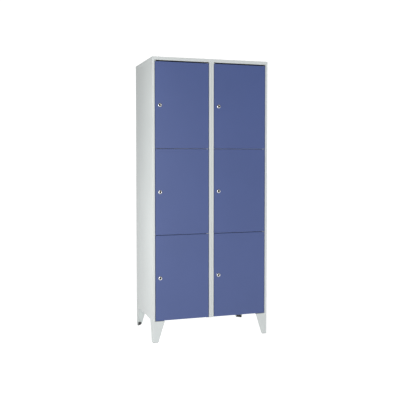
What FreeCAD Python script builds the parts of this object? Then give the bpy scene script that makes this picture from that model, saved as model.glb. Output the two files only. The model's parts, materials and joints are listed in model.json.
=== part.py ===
import FreeCAD, Part
import math
import os

Vector = FreeCAD.Vector

# A steel locker on four feet: two columns of three compartments, each closed by an inset
# door that is hinged on its right and locked on its left. Millimetres, +Z up, X across the
# front, +Y to the back. The origin is on the floor under the middle of the locker.

# ---- Driving dimensions -------------------------------------------------------------

CABINET_WIDTH = 800.0
CABINET_DEPTH = 500.0
CABINET_HEIGHT = 1850.0
COLUMN_NAMES = ("left", "right")
ROW_NAMES = ("bottom", "middle", "top")

SKIN = 0.8                   # carcass sheet
DOOR_SKIN = 1.0
BEND = 0.8                   # inside radius of a fold
TOUCH = 0.3                  # air where a square corner sits in a rounded fold
PARTITION_SEAM = 0.3         # between the two walls in the middle

TOP_RAIL = 21.0
CAP_LAP = 20.0               # how far the top cover reaches down the sides and back
STILE_WIDTH = 16.0
STRIKE_DEPTH = 21.0          # door face to the strip that the door closes against
STRIKE_WIDTH = 14.0
STILE_BOX_DEPTH = 25.0
STILE_LIP = 10.0
REAR_FOLD = 14.0

SHELF_LIP = 24.0
SHELF_SETBACK = 25.2         # door face to the front of the shelves and the base
BASE_HEIGHT = 22.0
BASE_LIP = 18.0

DOOR_DEPTH = 20.0
DOOR_LIP = 12.0
DOOR_SIDE_GAP = 3.0
DOOR_SEAM = 3.0              # between one door and the next
DOOR_TOP_GAP = 8.5
DOOR_BOTTOM_GAP = 3.0
DOOR_CORNER = 1.6
DOOR_OPENING_DEG = 110.0

STIFFENER_WIDTH = 64.0
STIFFENER_CROWN = 30.0
STIFFENER_DEPTH = 13.0
STIFFENER_END_GAP = 40.0

PIVOT_INSET = 10.0           # hinge axis, in from the door's right edge
PIVOT_DEPTH = 7.0            # hinge axis, behind the door's face
PIN_RADIUS = 2.5
PIN_REACH = 9.0              # of a pin into a door
PIN_PLAY = 0.06              # radial
HINGE_PLATE = 1.5
HINGE_NOSE = 6.0
SLOT_PLAY = 0.1
WASHER_RADIUS = 5.5
WASHER_THICKNESS = 0.5

FOOT_HEIGHT = 140.0
FOOT_SHEET = 1.5
FOOT_TOP_WIDTH = 80.0
FOOT_TOE_WIDTH = 37.0
FOOT_PLATE = 78.0
FOOT_PLATE_CLIP = 48.0
GLIDE_BASE = 1.5
GLIDE_LEG = 34.0
GLIDE_HEIGHT = 16.0

SCREW_RADIUS = 3.0
SCREW_HOLE_RADIUS = 3.2
SCREW_HEAD_RADIUS = 6.0
SCREW_HEAD = 3.5
SCREW_REACH = 10.0
NUT_FLATS = 10.0
NUT_HEIGHT = 5.0

LOCK_INSET = 32.0            # lock axis, in from the door's left edge
LOCK_RIM_RADIUS = 12.5
LOCK_RIM_PROUD = 2.2
LOCK_BODY_RADIUS = 9.5
LOCK_BODY_FLATS = 16.4
LOCK_BODY_REAR = 20.5        # depth behind the door's face
LOCK_HOLE_PLAY = 0.15
LOCK_NUT_FLATS = 24.0
LOCK_NUT_HEIGHT = 4.0
PLUG_RADIUS = 6.5
PLUG_PLAY = 0.05
PLUG_RECESS = 1.8            # plug face, in from the face of the rim
PLUG_REAR = 22.6
KEYWAY = (1.8, 8.6, 12.0)    # width, height, depth
CAM_THICKNESS = 2.0
CAM_WIDTH = 16.0
CAM_REACH = 29.0
CAM_SQUARE = 8.0
CAM_AIR = 0.1
PEEN_RADIUS = 5.4
PEEN_HEIGHT = 1.2

BUFFER_RADIUS = 4.5
BUFFER_STEM_RADIUS = 2.0
BUFFER_HEAD_RADIUS = 3.2
BUFFER_THICKNESS = 0.7
BUFFER_HEAD = 1.2
BUFFER_SPREAD = 180.0        # above and below the lock

# ---- Places worked out from them ----------------------------------------------------

HALF_WIDTH = CABINET_WIDTH / 2
RIM_BEYOND_FRONT = LOCK_RIM_PROUD - SKIN
FRONT_Y = (RIM_BEYOND_FRONT - CABINET_DEPTH) / 2     # front of the top cover
FACE_Y = FRONT_Y + SKIN                              # faces of the doors and uprights
BACK_Y = FRONT_Y + CABINET_DEPTH
BACK_PANEL_Y = BACK_Y - SKIN                         # rear face of the back panel
WALL_REAR_Y = BACK_PANEL_Y - SKIN                    # rear face of the uprights' rear folds
SHELF_FRONT_Y = FACE_Y + SHELF_SETBACK
SHELF_REAR_Y = WALL_REAR_Y - SKIN - TOUCH
WALL_TOP_Z = CABINET_HEIGHT - SKIN - BEND            # the walls stop below the cap's fold
BASE_TOP_Z = FOOT_HEIGHT + BASE_HEIGHT
DOOR_LOW_Z = FOOT_HEIGHT + DOOR_BOTTOM_GAP
DOOR_TOP_Z = CABINET_HEIGHT - TOP_RAIL - DOOR_TOP_GAP
DOOR_HEIGHT = (DOOR_TOP_Z - DOOR_LOW_Z - 2 * DOOR_SEAM) / len(ROW_NAMES)
DOOR_PITCH = DOOR_HEIGHT + DOOR_SEAM
DOOR_WIDTH = CABINET_WIDTH / 2 - 2 * STILE_WIDTH - 2 * DOOR_SIDE_GAP
PLATE_AIR = (DOOR_SEAM - HINGE_PLATE) / 2            # hinge plate to door
PIVOT_Y = FACE_Y + PIVOT_DEPTH


def column_edges(column):
    """Left and right limits in X of one column of compartments."""
    left = -HALF_WIDTH if column == "left" else 0.0
    return left, left + HALF_WIDTH


def door_left_x(column):
    return column_edges(column)[0] + STILE_WIDTH + DOOR_SIDE_GAP


def door_low_z(row):
    return DOOR_LOW_Z + DOOR_PITCH * ROW_NAMES.index(row)


def lock_centre(column, row):
    return door_left_x(column) + LOCK_INSET, door_low_z(row) + DOOR_HEIGHT / 2


def pivot_x(column):
    return door_left_x(column) + DOOR_WIDTH - PIVOT_INSET


def seam_z(index):
    """Middle of the seam above the door with this index."""
    return DOOR_LOW_Z + DOOR_PITCH * (index + 1) - DOOR_SEAM / 2


def hinge_plate_levels():
    """Underside of each hinge plate up one column, from the base to the top."""
    below = DOOR_LOW_Z - PLATE_AIR - HINGE_PLATE
    return [below + DOOR_PITCH * step for step in range(len(ROW_NAMES) + 1)]


# ---- Shapes that repeat -------------------------------------------------------------

def block(low, high):
    """A box from its low corner to its high corner, in either order along each axis."""
    start = Vector(*[min(a, b) for a, b in zip(low, high)])
    size = [abs(b - a) for a, b in zip(low, high)]
    return Part.makeBox(*size, start)


def rod(radius, x, y, z_low, z_high):
    return Part.makeCylinder(radius, z_high - z_low, Vector(x, y, z_low), Vector(0, 0, 1))


def rod_y(radius, x, z, y_front, y_rear):
    return Part.makeCylinder(radius, y_rear - y_front, Vector(x, y_front, z), Vector(0, 1, 0))


def hexagon(flats, centre, axis, height):
    """A hexagonal prism whose width across flats is given."""
    corner = flats / math.sqrt(3)
    angles = [math.radians(60 * step + 30) for step in range(6)]
    points = [Vector(corner * math.cos(a), corner * math.sin(a), 0) for a in angles]
    prism = Part.Face(Part.makePolygon(points + points[:1])).extrude(Vector(0, 0, height))
    prism.Placement = FreeCAD.Placement(centre, FreeCAD.Rotation(Vector(0, 0, 1), axis))
    return prism


def rounded_outline(points, radii):
    """A closed flat wire through the points, each corner rounded to its own radius."""
    edges = []
    last = None
    first = None
    for index, (corner, radius) in enumerate(zip(points, radii)):
        to_before = (points[index - 1] - corner).normalize()
        to_after = (points[(index + 1) % len(points)] - corner).normalize()
        half = to_before.getAngle(to_after) / 2
        start = corner + to_before * (radius / math.tan(half))
        end = corner + to_after * (radius / math.tan(half))
        if last is not None:
            edges.append(Part.makeLine(last, start))
        if radius > 0:
            bisector = (to_before + to_after).normalize()
            middle = corner + bisector * (radius / math.sin(half) - radius)
            edges.append(Part.Arc(start, middle, end).toShape())
        first = first or start
        last = end
    edges.append(Part.makeLine(last, first))
    return Part.Wire(edges)


def offset_path(path, distance):
    """The path moved to its left by the distance, with mitred corners."""
    moved = []
    for index, (u, v) in enumerate(path):
        normals = []
        for a, b in ((index - 1, index), (index, index + 1)):
            if a < 0 or b >= len(path):
                continue
            du, dv = path[b][0] - path[a][0], path[b][1] - path[a][1]
            length = math.hypot(du, dv)
            normals.append((-dv / length, du / length))
        nu = sum(n[0] for n in normals) / len(normals)
        nv = sum(n[1] for n in normals) / len(normals)
        scale = distance / (nu * nu + nv * nv)
        moved.append((u + nu * scale, v + nv * scale))
    return moved


def fold_radii(path, thickness):
    """Radii of the path's own corners and of the corners of the sheet's other side."""
    near, far = [0.0], [0.0]
    for index in range(1, len(path) - 1):
        (u0, v0), (u1, v1), (u2, v2) = path[index - 1:index + 2]
        turns_left = (u1 - u0) * (v2 - v1) - (v1 - v0) * (u2 - u1) > 0
        near.append(BEND + thickness if turns_left else BEND)
        far.append(BEND if turns_left else BEND + thickness)
    return near + [0.0], far + [0.0]


def folded_sheet(path, thickness, to_space, travel):
    """A folded strip of sheet: the path is its outer face and the metal is on the left."""
    near, far = fold_radii(path, thickness)
    outline = path + offset_path(path, thickness)[::-1]
    points = [to_space(u, v) for u, v in outline]
    return Part.Face(rounded_outline(points, near + far[::-1])).extrude(travel)


def edges_in_plane(shape, axis, value):
    """Edges that lie wholly where the coordinate along the axis has the value."""
    return [e for e in shape.Edges
            if all(abs(getattr(v.Point, axis) - value) < 1e-6 for v in e.Vertexes)]


def tray(low, high, thickness):
    """A panel with its four edges folded down, its flat top at the high corner."""
    outer = block(low, high)
    outer = outer.makeFillet(BEND + thickness, edges_in_plane(outer, "z", high[2]))
    inner_low = (low[0] + thickness, low[1] + thickness, low[2] - thickness)
    inner_high = (high[0] - thickness, high[1] - thickness, high[2] - thickness)
    inner = block(inner_low, inner_high)
    inner = inner.makeFillet(BEND, edges_in_plane(inner, "z", inner_high[2]))
    return outer.cut(inner)


# ---- Carcass ------------------------------------------------------------------------

def hinge_slots(stile_x):
    """Cutters for the slots where the hinge plates pass through the side of a stile."""
    near, far = PIVOT_Y - HINGE_NOSE - SLOT_PLAY, PIVOT_Y + HINGE_NOSE + SLOT_PLAY
    return [block((stile_x - SKIN, near, low - SLOT_PLAY),
                  (stile_x + 2 * SKIN, far, low + HINGE_PLATE + SLOT_PLAY))
            for low in hinge_plate_levels()]


def buffer_places(column):
    """Centres (x, z) of the buffers on a column's strike strip."""
    x = column_edges(column)[0] + STILE_WIDTH + DOOR_SIDE_GAP + DOOR_LIP / 2
    return [(x, lock_centre(column, row)[1] + side * BUFFER_SPREAD)
            for row in ROW_NAMES for side in (-1, 1)]


def upright(column, side, edge_offset):
    """A wall of one column, folded at the front into a stile and at the rear into a strip.

    edge_offset is how far the wall's outer face stands inside the column's edge.
    """
    left, right = column_edges(column)
    toward = 1 if side == "lock" else -1
    edge = left if side == "lock" else right
    outer_x = edge + toward * edge_offset
    stile = STILE_WIDTH - edge_offset
    depth = WALL_REAR_Y - FACE_Y
    path = [(REAR_FOLD, depth), (0, depth), (0, 0), (stile, 0)]
    if side == "lock":
        path += [(stile, STRIKE_DEPTH), (stile + STRIKE_WIDTH, STRIKE_DEPTH)]
    else:
        path += [(stile, STILE_BOX_DEPTH), (stile - STILE_LIP, STILE_BOX_DEPTH)]

    def to_space(u, v):
        return Vector(outer_x + toward * u, FACE_Y + v, FOOT_HEIGHT)

    wall = folded_sheet(path, SKIN, to_space, Vector(0, 0, WALL_TOP_Z - FOOT_HEIGHT))
    if side == "hinge":
        return wall.cut(hinge_slots(edge - STILE_WIDTH))
    strip_y = FACE_Y + STRIKE_DEPTH
    holes = [rod_y(BUFFER_STEM_RADIUS, x, z, strip_y - 1, strip_y + SKIN + 1)
             for x, z in buffer_places(column)]
    return wall.cut(holes)


def partition(column, side):
    """A middle wall: it stands on the base, and only its stile reaches down to the feet."""
    wall = upright(column, side, PARTITION_SEAM / 2)
    cut_low = (-HALF_WIDTH / 2, SHELF_FRONT_Y - TOUCH, 0)
    cut_high = (HALF_WIDTH / 2, BACK_Y, BASE_TOP_Z)
    return wall.cut(block(cut_low, cut_high))


def back_panel():
    inset = SKIN + BEND + SKIN
    return block((-HALF_WIDTH + inset, WALL_REAR_Y, FOOT_HEIGHT),
                 (HALF_WIDTH - inset, BACK_PANEL_Y, WALL_TOP_Z))


def rail_return(column):
    """The rail's lower edge, folded back over one column to stiffen it."""
    left, right = column_edges(column)
    rail_z = CABINET_HEIGHT - TOP_RAIL
    return block((left + STILE_WIDTH + STRIKE_WIDTH + 1, FRONT_Y, rail_z),
                 (right - STILE_WIDTH - 1, FACE_Y + STILE_BOX_DEPTH, rail_z + SKIN))


def top_cover():
    """A cap over the whole locker; its front fold is the top rail."""
    low_z = CABINET_HEIGHT - CAP_LAP
    cap = tray((-HALF_WIDTH, FRONT_Y, low_z), (HALF_WIDTH, BACK_Y, CABINET_HEIGHT), SKIN)
    rail_low = CABINET_HEIGHT - TOP_RAIL
    rail_edge = block((-HALF_WIDTH, FRONT_Y, rail_low), (HALF_WIDTH, FACE_Y, low_z))
    returns = [rail_return(column) for column in COLUMN_NAMES]
    return cap.fuse([rail_edge] + returns).removeSplitter()


def foot_screw_places():
    """Centres (x, y) of the foot screws: two in each foot, in the base's folded lips."""
    side_x = HALF_WIDTH - SKIN - 11
    lip_x = HALF_WIDTH - SKIN - 52
    front = [(lip_x, SHELF_FRONT_Y + SKIN + 10), (side_x, FACE_Y + 62)]
    rear = [(lip_x, SHELF_REAR_Y - SKIN - 10), (side_x, BACK_PANEL_Y - 62)]
    return [(side * x, y) for side in (-1, 1) for x, y in front + rear]


def base_panel():
    """The floor of the bottom compartments: a tray with inward lips that carry the feet."""
    wall_x = HALF_WIDTH - 2 * SKIN - TOUCH
    low = (-wall_x, SHELF_FRONT_Y, FOOT_HEIGHT)
    high = (wall_x, SHELF_REAR_Y, BASE_TOP_Z)
    ring = block(low, (wall_x, SHELF_REAR_Y, FOOT_HEIGHT + SKIN))
    inside = SKIN + BASE_LIP
    window = block((-wall_x + inside, SHELF_FRONT_Y + inside, FOOT_HEIGHT - 1),
                   (wall_x - inside, SHELF_REAR_Y - inside, FOOT_HEIGHT + SKIN + 1))
    holes = [rod(SCREW_HOLE_RADIUS, x, y, FOOT_HEIGHT - 1, FOOT_HEIGHT + SKIN + 1)
             for x, y in foot_screw_places()]
    return tray(low, high, SKIN).fuse(ring.cut([window])).removeSplitter().cut(holes)


def shelf(column, seam_index):
    """A tray between two compartments; its front fold stands behind the door seam."""
    left, right = column_edges(column)
    outer_gap = 2 * SKIN + TOUCH
    inner_gap = PARTITION_SEAM / 2 + SKIN + TOUCH
    low_x = left + (outer_gap if column == "left" else inner_gap)
    high_x = right - (inner_gap if column == "left" else outer_gap)
    top_z = seam_z(seam_index) + SHELF_LIP / 2
    return tray((low_x, SHELF_FRONT_Y, top_z - SHELF_LIP), (high_x, SHELF_REAR_Y, top_z), SKIN)


# ---- Feet ---------------------------------------------------------------------------

def foot_corners():
    """Each foot's name, outer corner and the directions in which its flanges run."""
    x = HALF_WIDTH - SKIN
    return {
        "front_left": (-x, FACE_Y, 1, 1),
        "front_right": (x, FACE_Y, -1, 1),
        "rear_left": (-x, BACK_PANEL_Y, 1, -1),
        "rear_right": (x, BACK_PANEL_Y, -1, -1),
    }


def taper(corner_x, corner_y, run_x, run_y, along_x):
    """The space inside a foot's sloping edge, for the flange that runs along one axis."""
    wide = FOOT_TOP_WIDTH
    outline = [(0, GLIDE_BASE), (FOOT_TOE_WIDTH, GLIDE_BASE), (wide, FOOT_HEIGHT), (0, FOOT_HEIGHT)]
    if along_x:
        points = [Vector(corner_x + run_x * u, corner_y, v) for u, v in outline]
        travel = Vector(0, run_y * wide, 0)
    else:
        points = [Vector(corner_x, corner_y + run_y * u, v) for u, v in outline]
        travel = Vector(run_x * wide, 0, 0)
    return Part.Face(Part.makePolygon(points + points[:1])).extrude(travel)


def foot(corner_x, corner_y, run_x, run_y):
    """An angle of sheet that tapers to its toe, with a plate on top for two screws."""
    path = [(0, FOOT_TOP_WIDTH), (0, 0), (FOOT_TOP_WIDTH, 0)]

    def to_space(u, v):
        return Vector(corner_x + run_x * u, corner_y + run_y * v, GLIDE_BASE)

    angle = folded_sheet(path, FOOT_SHEET, to_space, Vector(0, 0, FOOT_HEIGHT - GLIDE_BASE))
    for along_x in (True, False):
        angle = angle.common(taper(corner_x, corner_y, run_x, run_y, along_x))
    edge = FOOT_SHEET / 2
    clip = FOOT_PLATE - FOOT_PLATE_CLIP
    outline = [(edge, edge), (FOOT_PLATE, edge), (FOOT_PLATE, clip), (clip, FOOT_PLATE),
               (edge, FOOT_PLATE)]
    points = [Vector(corner_x + run_x * u, corner_y + run_y * v, FOOT_HEIGHT - FOOT_SHEET)
              for u, v in outline]
    plate = Part.Face(Part.makePolygon(points + points[:1])).extrude(Vector(0, 0, FOOT_SHEET))
    holes = [rod(SCREW_HOLE_RADIUS, x, y, FOOT_HEIGHT - 2 * FOOT_SHEET, FOOT_HEIGHT + 1)
             for x, y in foot_screw_places()]
    return angle.fuse(plate).removeSplitter().cut(holes)


def glide(corner_x, corner_y, run_x, run_y):
    """A plastic shoe that fills the toe's corner and that the sheet stands on."""
    sole_leg = FOOT_TOE_WIDTH
    start = FOOT_SHEET + TOUCH

    def prism(first, leg, low_z, high_z):
        corners = [(first, first), (first + leg, first), (first, first + leg)]
        points = [Vector(corner_x + run_x * u, corner_y + run_y * v, low_z) for u, v in corners]
        outline = rounded_outline(points, (1.0, 2.0, 2.0))
        return Part.Face(outline).extrude(Vector(0, 0, high_z - low_z))

    sole = prism(0.0, sole_leg, 0.0, GLIDE_BASE)
    block_in_corner = prism(start, GLIDE_LEG, GLIDE_BASE, GLIDE_HEIGHT)
    return sole.fuse(block_in_corner)


def foot_screw(x, y):
    low = FOOT_HEIGHT - FOOT_SHEET
    head = rod(SCREW_HEAD_RADIUS, x, y, low - SCREW_HEAD, low)
    head = head.makeFillet(1.2, edges_in_plane(head, "z", low - SCREW_HEAD))
    shank = rod(SCREW_RADIUS, x, y, low, low + SCREW_REACH)
    drive = hexagon(4.0, Vector(x, y, low - SCREW_HEAD), Vector(0, 0, 1), 2.0)
    return head.fuse(shank).cut(drive)


def foot_nut(x, y):
    low = FOOT_HEIGHT + SKIN
    nut = hexagon(NUT_FLATS, Vector(x, y, low), Vector(0, 0, 1), NUT_HEIGHT)
    return nut.cut(rod(SCREW_RADIUS, x, y, low - 1, low + NUT_HEIGHT + 1))


# ---- Hinges and buffers -------------------------------------------------------------

def hinge_plate(column, low):
    """A tongue that comes through the stile and carries a pin between two doors."""
    x = pivot_x(column)
    root_x = column_edges(column)[1] - STILE_BOX_DEPTH / 5
    nose = rod(HINGE_NOSE, x, PIVOT_Y, low, low + HINGE_PLATE)
    tongue = block((x, PIVOT_Y - HINGE_NOSE, low), (root_x, PIVOT_Y + HINGE_NOSE, low + HINGE_PLATE))
    hole = rod(PIN_RADIUS, x, PIVOT_Y, low - 1, low + HINGE_PLATE + 1)
    return nose.fuse(tongue).removeSplitter().cut(hole)


def hinge_pin(column, index, low):
    """A riveted pin: it reaches into the door below it, the door above it, or both."""
    x = pivot_x(column)
    into_door = PLATE_AIR + PIN_REACH
    above = into_door if index < len(ROW_NAMES) else 1.0
    below = into_door if index > 0 else 0.0
    pin = rod(PIN_RADIUS, x, PIVOT_Y, low - below, low + HINGE_PLATE + above)
    ends = edges_in_plane(pin, "z", low + HINGE_PLATE + above)
    if below:
        ends += edges_in_plane(pin, "z", low - below)
    return pin.makeChamfer(0.6, [e for e in ends if isinstance(e.Curve, Part.Circle)])


def hinge_washers(column, index, low):
    x = pivot_x(column)
    spans = []
    if index < len(ROW_NAMES):
        spans.append((low + HINGE_PLATE, low + HINGE_PLATE + WASHER_THICKNESS))
    if index > 0:
        spans.append((low - WASHER_THICKNESS, low))
    return [rod(WASHER_RADIUS, x, PIVOT_Y, a, b).cut(rod(PIN_RADIUS, x, PIVOT_Y, a - 1, b + 1))
            for a, b in spans]


def door_buffer(x, z):
    """A rubber button pushed through the strike strip."""
    front = FACE_Y + STRIKE_DEPTH
    rear = front + SKIN
    pad = rod_y(BUFFER_RADIUS, x, z, front - BUFFER_THICKNESS, front)
    stem = rod_y(BUFFER_STEM_RADIUS, x, z, front, rear)
    head = rod_y(BUFFER_HEAD_RADIUS, x, z, rear, rear + BUFFER_HEAD)
    return pad.fuse([stem, head])


# ---- Doors --------------------------------------------------------------------------

def lock_body_shape(x, z, play, y_front, y_rear):
    """The round lock body with two flats that stop it turning in the door."""
    half_flats = LOCK_BODY_FLATS / 2 + play
    radius = LOCK_BODY_RADIUS + play
    flats = block((x - half_flats, y_front, z - 2 * radius), (x + half_flats, y_rear, z + 2 * radius))
    return rod_y(radius, x, z, y_front, y_rear).common(flats)


def door_panel(column, row):
    """A pan of sheet: a flat face, four folded edges, and lips down the two long sides."""
    x0, z0 = door_left_x(column), door_low_z(row)
    x1, z1 = x0 + DOOR_WIDTH, z0 + DOOR_HEIGHT
    rear = FACE_Y + DOOR_DEPTH
    pan = block((x0, FACE_Y, z0), (x1, rear, z1))
    pan = pan.makeFillet(DOOR_CORNER, edges_in_plane(pan, "y", FACE_Y))
    t = DOOR_SKIN
    inside = block((x0 + t, FACE_Y + t, z0 + t), (x1 - t, rear - t, z1 - t))
    inside = inside.makeFillet(DOOR_CORNER - t, edges_in_plane(inside, "y", FACE_Y + t))
    mouth = block((x0 + DOOR_LIP, rear - 2 * t, z0 + t), (x1 - DOOR_LIP, rear + t, z1 - t))
    lock_x, lock_z = lock_centre(column, row)
    lock_hole = lock_body_shape(lock_x, lock_z, LOCK_HOLE_PLAY, FACE_Y - 1, FACE_Y + 2 * t)
    pins = [rod(PIN_RADIUS + PIN_PLAY, pivot_x(column), PIVOT_Y, z - 2 * t, z + 2 * t)
            for z in (z0, z1)]
    return pan.cut(inside.fuse(mouth)).cut([lock_hole] + pins)


def door_stiffener(column, row):
    """A top-hat section welded down the middle of the door's back."""
    middle = door_left_x(column) + DOOR_WIDTH / 2
    face = DOOR_SKIN
    top = face + STIFFENER_DEPTH
    half, crown = STIFFENER_WIDTH / 2, STIFFENER_CROWN / 2
    slope = 6.0
    path = [(-half, face), (-crown - slope, face), (-crown, top),
            (crown, top), (crown + slope, face), (half, face)]
    low = door_low_z(row) + STIFFENER_END_GAP

    def to_space(u, v):
        return Vector(middle + u, FACE_Y + v, low)

    return folded_sheet(path, SKIN, to_space, Vector(0, 0, DOOR_HEIGHT - 2 * STIFFENER_END_GAP))


def lock_housing(column, row):
    x, z = lock_centre(column, row)
    rim_y = FACE_Y - LOCK_RIM_PROUD
    rim = rod_y(LOCK_RIM_RADIUS, x, z, rim_y, FACE_Y)
    rim = rim.makeFillet(1.4, edges_in_plane(rim, "y", rim_y))
    body = lock_body_shape(x, z, 0.0, FACE_Y, FACE_Y + LOCK_BODY_REAR)
    bore = rod_y(PLUG_RADIUS + PLUG_PLAY, x, z, rim_y - 1, FACE_Y + LOCK_BODY_REAR + 1)
    mouth = Part.makeCone(PLUG_RADIUS + 1.8, PLUG_RADIUS, 1.8, Vector(x, rim_y, z), Vector(0, 1, 0))
    return rim.fuse(body).removeSplitter().cut([bore, mouth])


def lock_nut(column, row):
    x, z = lock_centre(column, row)
    front = FACE_Y + DOOR_SKIN
    nut = hexagon(LOCK_NUT_FLATS, Vector(x, front, z), Vector(0, 1, 0), LOCK_NUT_HEIGHT)
    return nut.cut(rod_y(LOCK_BODY_RADIUS, x, z, front - 1, front + LOCK_NUT_HEIGHT + 1))


def lock_plug(column, row):
    """The turning core: keyway in front, a square for the cam and a peened end behind."""
    x, z = lock_centre(column, row)
    front = FACE_Y - LOCK_RIM_PROUD + PLUG_RECESS
    shoulder = FACE_Y + PLUG_REAR
    square_end = shoulder + CAM_THICKNESS + 2 * CAM_AIR
    half = CAM_SQUARE / 2
    barrel = rod_y(PLUG_RADIUS, x, z, front, shoulder)
    square = block((x - half, shoulder, z - half), (x + half, square_end, z + half))
    peen = rod_y(PEEN_RADIUS, x, z, square_end, square_end + PEEN_HEIGHT)
    width, height, depth = KEYWAY
    keyway = block((x - width / 2, front - 1, z - height / 2),
                   (x + width / 2, front + depth, z + height / 2))
    return barrel.fuse([square, peen]).cut(keyway)


def lock_cam(column, row):
    """The tongue that turns behind the strike strip; it hangs down when unlocked."""
    x, z = lock_centre(column, row)
    front = FACE_Y + PLUG_REAR + CAM_AIR
    rear = front + CAM_THICKNESS
    half = CAM_WIDTH / 2
    hub = rod_y(half, x, z, front, rear)
    arm = block((x - half, front, z - CAM_REACH), (x + half, rear, z))
    corners = [e for e in edges_in_plane(arm, "z", z - CAM_REACH) if e.Length < CAM_WIDTH / 2]
    arm = arm.makeFillet(4.0, corners)
    side = CAM_SQUARE / 2 + PLUG_PLAY
    square = block((x - side, front - 1, z - side), (x + side, rear + 1, z + side))
    return hub.fuse(arm).removeSplitter().cut(square)


# ---- Assembly -----------------------------------------------------------------------

def carcass_nodes():
    nodes = {
        "left_side_panel": upright("left", "lock", SKIN),
        "right_side_panel": upright("right", "hinge", SKIN),
        "left_partition_panel": partition("left", "hinge"),
        "right_partition_panel": partition("right", "lock"),
        "back_panel": back_panel(),
        "top_cover": top_cover(),
        "base_panel": base_panel(),
    }
    for column in COLUMN_NAMES:
        for index, level in enumerate(("lower", "upper")):
            nodes[column + "_" + level + "_shelf"] = shelf(column, index)
    return nodes


def foot_nodes():
    corners = foot_corners()
    nodes = {name + "_foot": foot(*corner) for name, corner in corners.items()}
    nodes["foot_glides"] = [glide(*corner) for corner in corners.values()]
    nodes["foot_screws"] = [foot_screw(x, y) for x, y in foot_screw_places()]
    nodes["foot_nuts"] = [foot_nut(x, y) for x, y in foot_screw_places()]
    return nodes


def hinge_nodes():
    plates, pins, washers, buffers = [], [], [], []
    for column in COLUMN_NAMES:
        for index, low in enumerate(hinge_plate_levels()):
            plates.append(hinge_plate(column, low))
            pins.append(hinge_pin(column, index, low))
            washers += hinge_washers(column, index, low)
        buffers += [door_buffer(x, z) for x, z in buffer_places(column)]
    return {"hinge_plates": plates, "hinge_pins": pins,
            "hinge_washers": washers, "door_buffers": buffers}


def door_nodes():
    makers = {"door_panel": door_panel, "door_stiffener": door_stiffener,
              "lock_housing": lock_housing, "lock_nut": lock_nut,
              "lock_plug": lock_plug, "lock_cam": lock_cam}
    return {"_".join((column, row, piece)): make(column, row)
            for column in COLUMN_NAMES for row in ROW_NAMES for piece, make in makers.items()}


def write_nodes(nodes):
    """One STEP file for each node; a node of several pieces is a compound of them."""
    os.makedirs("parts", exist_ok=True)
    for name, made in nodes.items():
        shape = Part.makeCompound(made) if isinstance(made, list) else made
        shape.exportStep(os.path.join("parts", name + ".step"))
        print(name, "solids", len(shape.Solids), "valid", shape.isValid(),
              "volume cm3", round(shape.Volume / 1000, 2))


all_nodes = {**carcass_nodes(), **foot_nodes(), **hinge_nodes(), **door_nodes()}
write_nodes(all_nodes)
print(len(all_nodes), "nodes")
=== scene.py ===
# %% [markdown]
# # A school locker in painted sheet steel
# The real locker is thin steel sheet, cut flat, folded on a press brake, spot welded and
# powder coated: a pale grey carcass on four angle feet, and six blue doors with cam locks.
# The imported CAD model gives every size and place. This script builds the same sheets again
# with real fold radii, adds the small metalwork, and paints them.

# %% Load the frame
import json
import math

import bmesh
import bpy
from mathutils import Matrix, Vector


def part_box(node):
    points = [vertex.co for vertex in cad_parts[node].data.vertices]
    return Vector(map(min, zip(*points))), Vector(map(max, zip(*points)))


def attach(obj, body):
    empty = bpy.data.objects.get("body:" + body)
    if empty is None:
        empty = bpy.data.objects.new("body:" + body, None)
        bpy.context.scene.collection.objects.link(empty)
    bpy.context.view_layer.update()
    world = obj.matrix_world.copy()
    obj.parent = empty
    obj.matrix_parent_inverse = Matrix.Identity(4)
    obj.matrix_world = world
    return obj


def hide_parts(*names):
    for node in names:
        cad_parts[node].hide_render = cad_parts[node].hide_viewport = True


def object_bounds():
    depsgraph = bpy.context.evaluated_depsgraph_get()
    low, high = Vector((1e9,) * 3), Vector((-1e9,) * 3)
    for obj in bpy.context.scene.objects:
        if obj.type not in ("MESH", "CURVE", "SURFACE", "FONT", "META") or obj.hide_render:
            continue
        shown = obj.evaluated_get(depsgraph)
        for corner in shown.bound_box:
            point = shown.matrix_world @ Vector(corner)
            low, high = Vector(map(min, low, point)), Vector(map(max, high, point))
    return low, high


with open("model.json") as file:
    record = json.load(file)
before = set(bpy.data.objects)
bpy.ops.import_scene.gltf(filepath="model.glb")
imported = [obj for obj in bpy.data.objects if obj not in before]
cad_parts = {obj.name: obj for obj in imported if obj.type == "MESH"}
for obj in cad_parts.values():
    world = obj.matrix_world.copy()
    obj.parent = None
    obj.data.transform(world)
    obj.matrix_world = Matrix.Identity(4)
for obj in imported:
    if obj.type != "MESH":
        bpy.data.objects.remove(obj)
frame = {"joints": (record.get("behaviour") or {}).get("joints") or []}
cad_low, cad_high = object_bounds()
MM = 0.001
print("CAD box, mm:", [round(v / MM, 1) for v in (*cad_low, *cad_high)])

# %% [markdown]
# ## Measuring the frame
# Sheet-metal parts share a few planes: the door faces, the walls and the floor of the base.
# They could be typed in again, but reading them from the CAD nodes keeps both models equal.
# The joints say where the locks and the hinge pins are.

# %% Measure the frame
COLUMNS = ("left", "right")
ROWS = ("bottom", "middle", "top")
door_low, door_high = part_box("left_bottom_door_panel")
wall_low, wall_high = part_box("left_side_panel")
base_low, base_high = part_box("base_panel")
face_y = door_low.y
joint_place = {joint["name"]: Vector(joint["pos_m"]) for joint in frame["joints"]}
lock_place = joint_place["left_bottom_key_turn"]
pivot_place = joint_place["left_bottom_hinge"]
door_names = [column + "_" + row for column in COLUMNS for row in ROWS]
door_shift = {name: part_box(name + "_door_panel")[0] - door_low for name in door_names}
print("door, mm:", [round(v / MM, 2) for v in door_high - door_low])
print("lock from the door's left edge, mm:", round((lock_place.x - door_low.x) / MM, 2))

# %% [markdown]
# ## One function for every node
# Shader trees and geometry trees are both made of nodes with settings and links. One small
# function covers both, so that each tree below reads as a list of what feeds what.

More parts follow.
